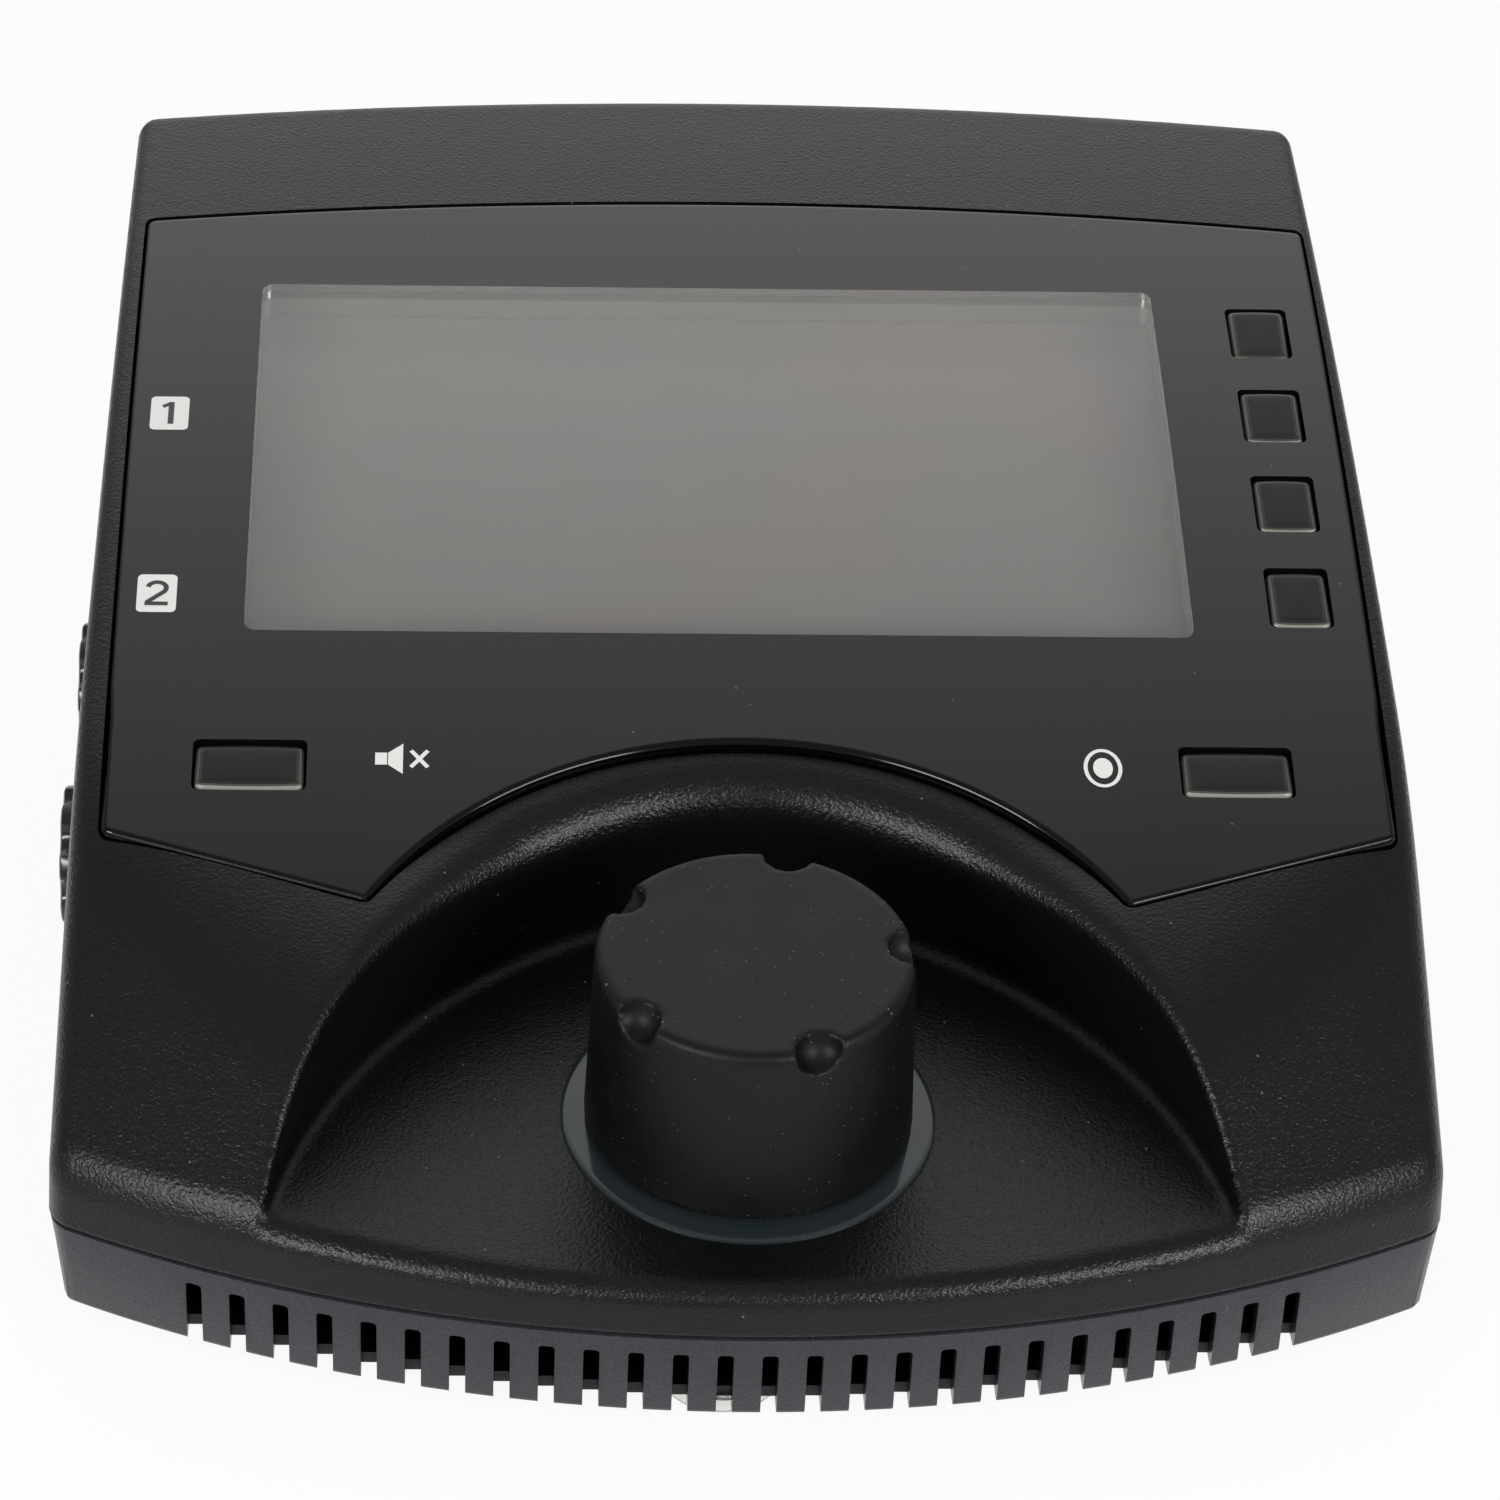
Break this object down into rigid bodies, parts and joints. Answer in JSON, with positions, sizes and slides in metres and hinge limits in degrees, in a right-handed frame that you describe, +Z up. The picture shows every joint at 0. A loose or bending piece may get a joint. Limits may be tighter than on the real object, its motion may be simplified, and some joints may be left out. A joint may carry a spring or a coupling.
{
  "type": "personal monitor mixer",
  "caption": "Wedge-shaped desktop mixer console with a display under a gloss panel, soft keys, a large push-and-turn knob in an arched scoop, side and rear sockets and a vented base",
  "frame": {"origin": "on the table, under the middle of the case's footprint", "axes": "+Z up, -Y towards the user, +X to the user's right"},
  "size_m": [0.139, 0.168, 0.0712],
  "materials": {
    "case_plastic": "fine grained black moulding",
    "tray_plastic": "fine grained black moulding",
    "panel_acrylic": "polished black acrylic",
    "window_acrylic": "clear polished acrylic",
    "steel": "bright zinc plated",
    "display_glass": "grey display cell, switched off",
    "white_plastic": "white light guide",
    "smoky_plastic": "smoky translucent plastic",
    "switch_plastic": "ivory plastic",
    "circuit_board": "green solder mask",
    "soft_rubber": "soft-touch black rubber",
    "ring_acrylic": "smoky translucent acrylic",
    "brass": "machined",
    "nickel": "nickel plated",
    "jack_plastic": "black glass-filled nylon",
    "nut_plastic": "glossy black nylon",
    "ribbon_plastic": "light grey flat cable",
    "clear_rubber": "clear polyurethane bumper"
  },
  "bodies": {
    "case": {"top_case": "case_plastic", "base_tray": "tray_plastic", "front_panel": "panel_acrylic", "display_window": "window_acrylic", "display_frame": "steel", "display_cell": "display_glass", "display_backlight": "white_plastic", "key_switches": "switch_plastic", "panel_board": "circuit_board", "panel_board_screws": "steel", "knob_ring": "ring_acrylic", "encoder_bushing": "brass", "encoder_nut": "nickel", "encoder_washer": "nickel", "encoder_body": "jack_plastic", "input_jack_1": "jack_plastic", "input_jack_2": "jack_plastic", "input_nut_1": "nut_plastic", "input_nut_2": "nut_plastic", "output_jack_left": "jack_plastic", "output_jack_right": "jack_plastic", "output_nut_left": "nut_plastic", "output_nut_right": "nut_plastic", "network_jack": "nickel", "power_inlet": "jack_plastic", "phones_jack": "jack_plastic", "card_socket": "steel", "main_board": "circuit_board", "main_board_screws": "steel", "ribbon_cable": "ribbon_plastic", "case_screws": "steel", "bumper_feet": "clear_rubber"},
    "push": {"encoder_plunger": "switch_plastic"},
    "knob": {"knob": "soft_rubber", "encoder_shaft": "steel"},
    "soft_key_1": {"soft_key_1": "smoky_plastic"},
    "soft_key_2": {"soft_key_2": "smoky_plastic"},
    "soft_key_3": {"soft_key_3": "smoky_plastic"},
    "soft_key_4": {"soft_key_4": "smoky_plastic"},
    "mute_key": {"mute_key": "smoky_plastic"},
    "record_key": {"record_key": "smoky_plastic"}
  },
  "joints": [
    {"name": "knob_push", "type": "slide", "parent": "case", "child": "push", "axis": [0, 0.1547, -0.988], "range_m": [0, 0.0005], "stiffness_N_per_m": 6000},
    {"name": "knob_turn", "type": "hinge", "parent": "push", "child": "knob", "pos_m": [0, -0.0581, 0.02142], "axis": [0, -0.1547, 0.988], "continuous": true},
    {"name": "soft_key_1_press", "type": "slide", "parent": "case", "child": "soft_key_1", "axis": [0, 0.2521, -0.9677], "range_m": [0, 0.0003], "stiffness_N_per_m": 2500},
    {"name": "soft_key_2_press", "type": "slide", "parent": "case", "child": "soft_key_2", "axis": [0, 0.2521, -0.9677], "range_m": [0, 0.0003], "stiffness_N_per_m": 2500},
    {"name": "soft_key_3_press", "type": "slide", "parent": "case", "child": "soft_key_3", "axis": [0, 0.2521, -0.9677], "range_m": [0, 0.0003], "stiffness_N_per_m": 2500},
    {"name": "soft_key_4_press", "type": "slide", "parent": "case", "child": "soft_key_4", "axis": [0, 0.2521, -0.9677], "range_m": [0, 0.0003], "stiffness_N_per_m": 2500},
    {"name": "mute_key_press", "type": "slide", "parent": "case", "child": "mute_key", "axis": [0, 0.2521, -0.9677], "range_m": [0, 0.0003], "stiffness_N_per_m": 2500},
    {"name": "record_key_press", "type": "slide", "parent": "case", "child": "record_key", "axis": [0, 0.2521, -0.9677], "range_m": [0, 0.0003], "stiffness_N_per_m": 2500}
  ]
}
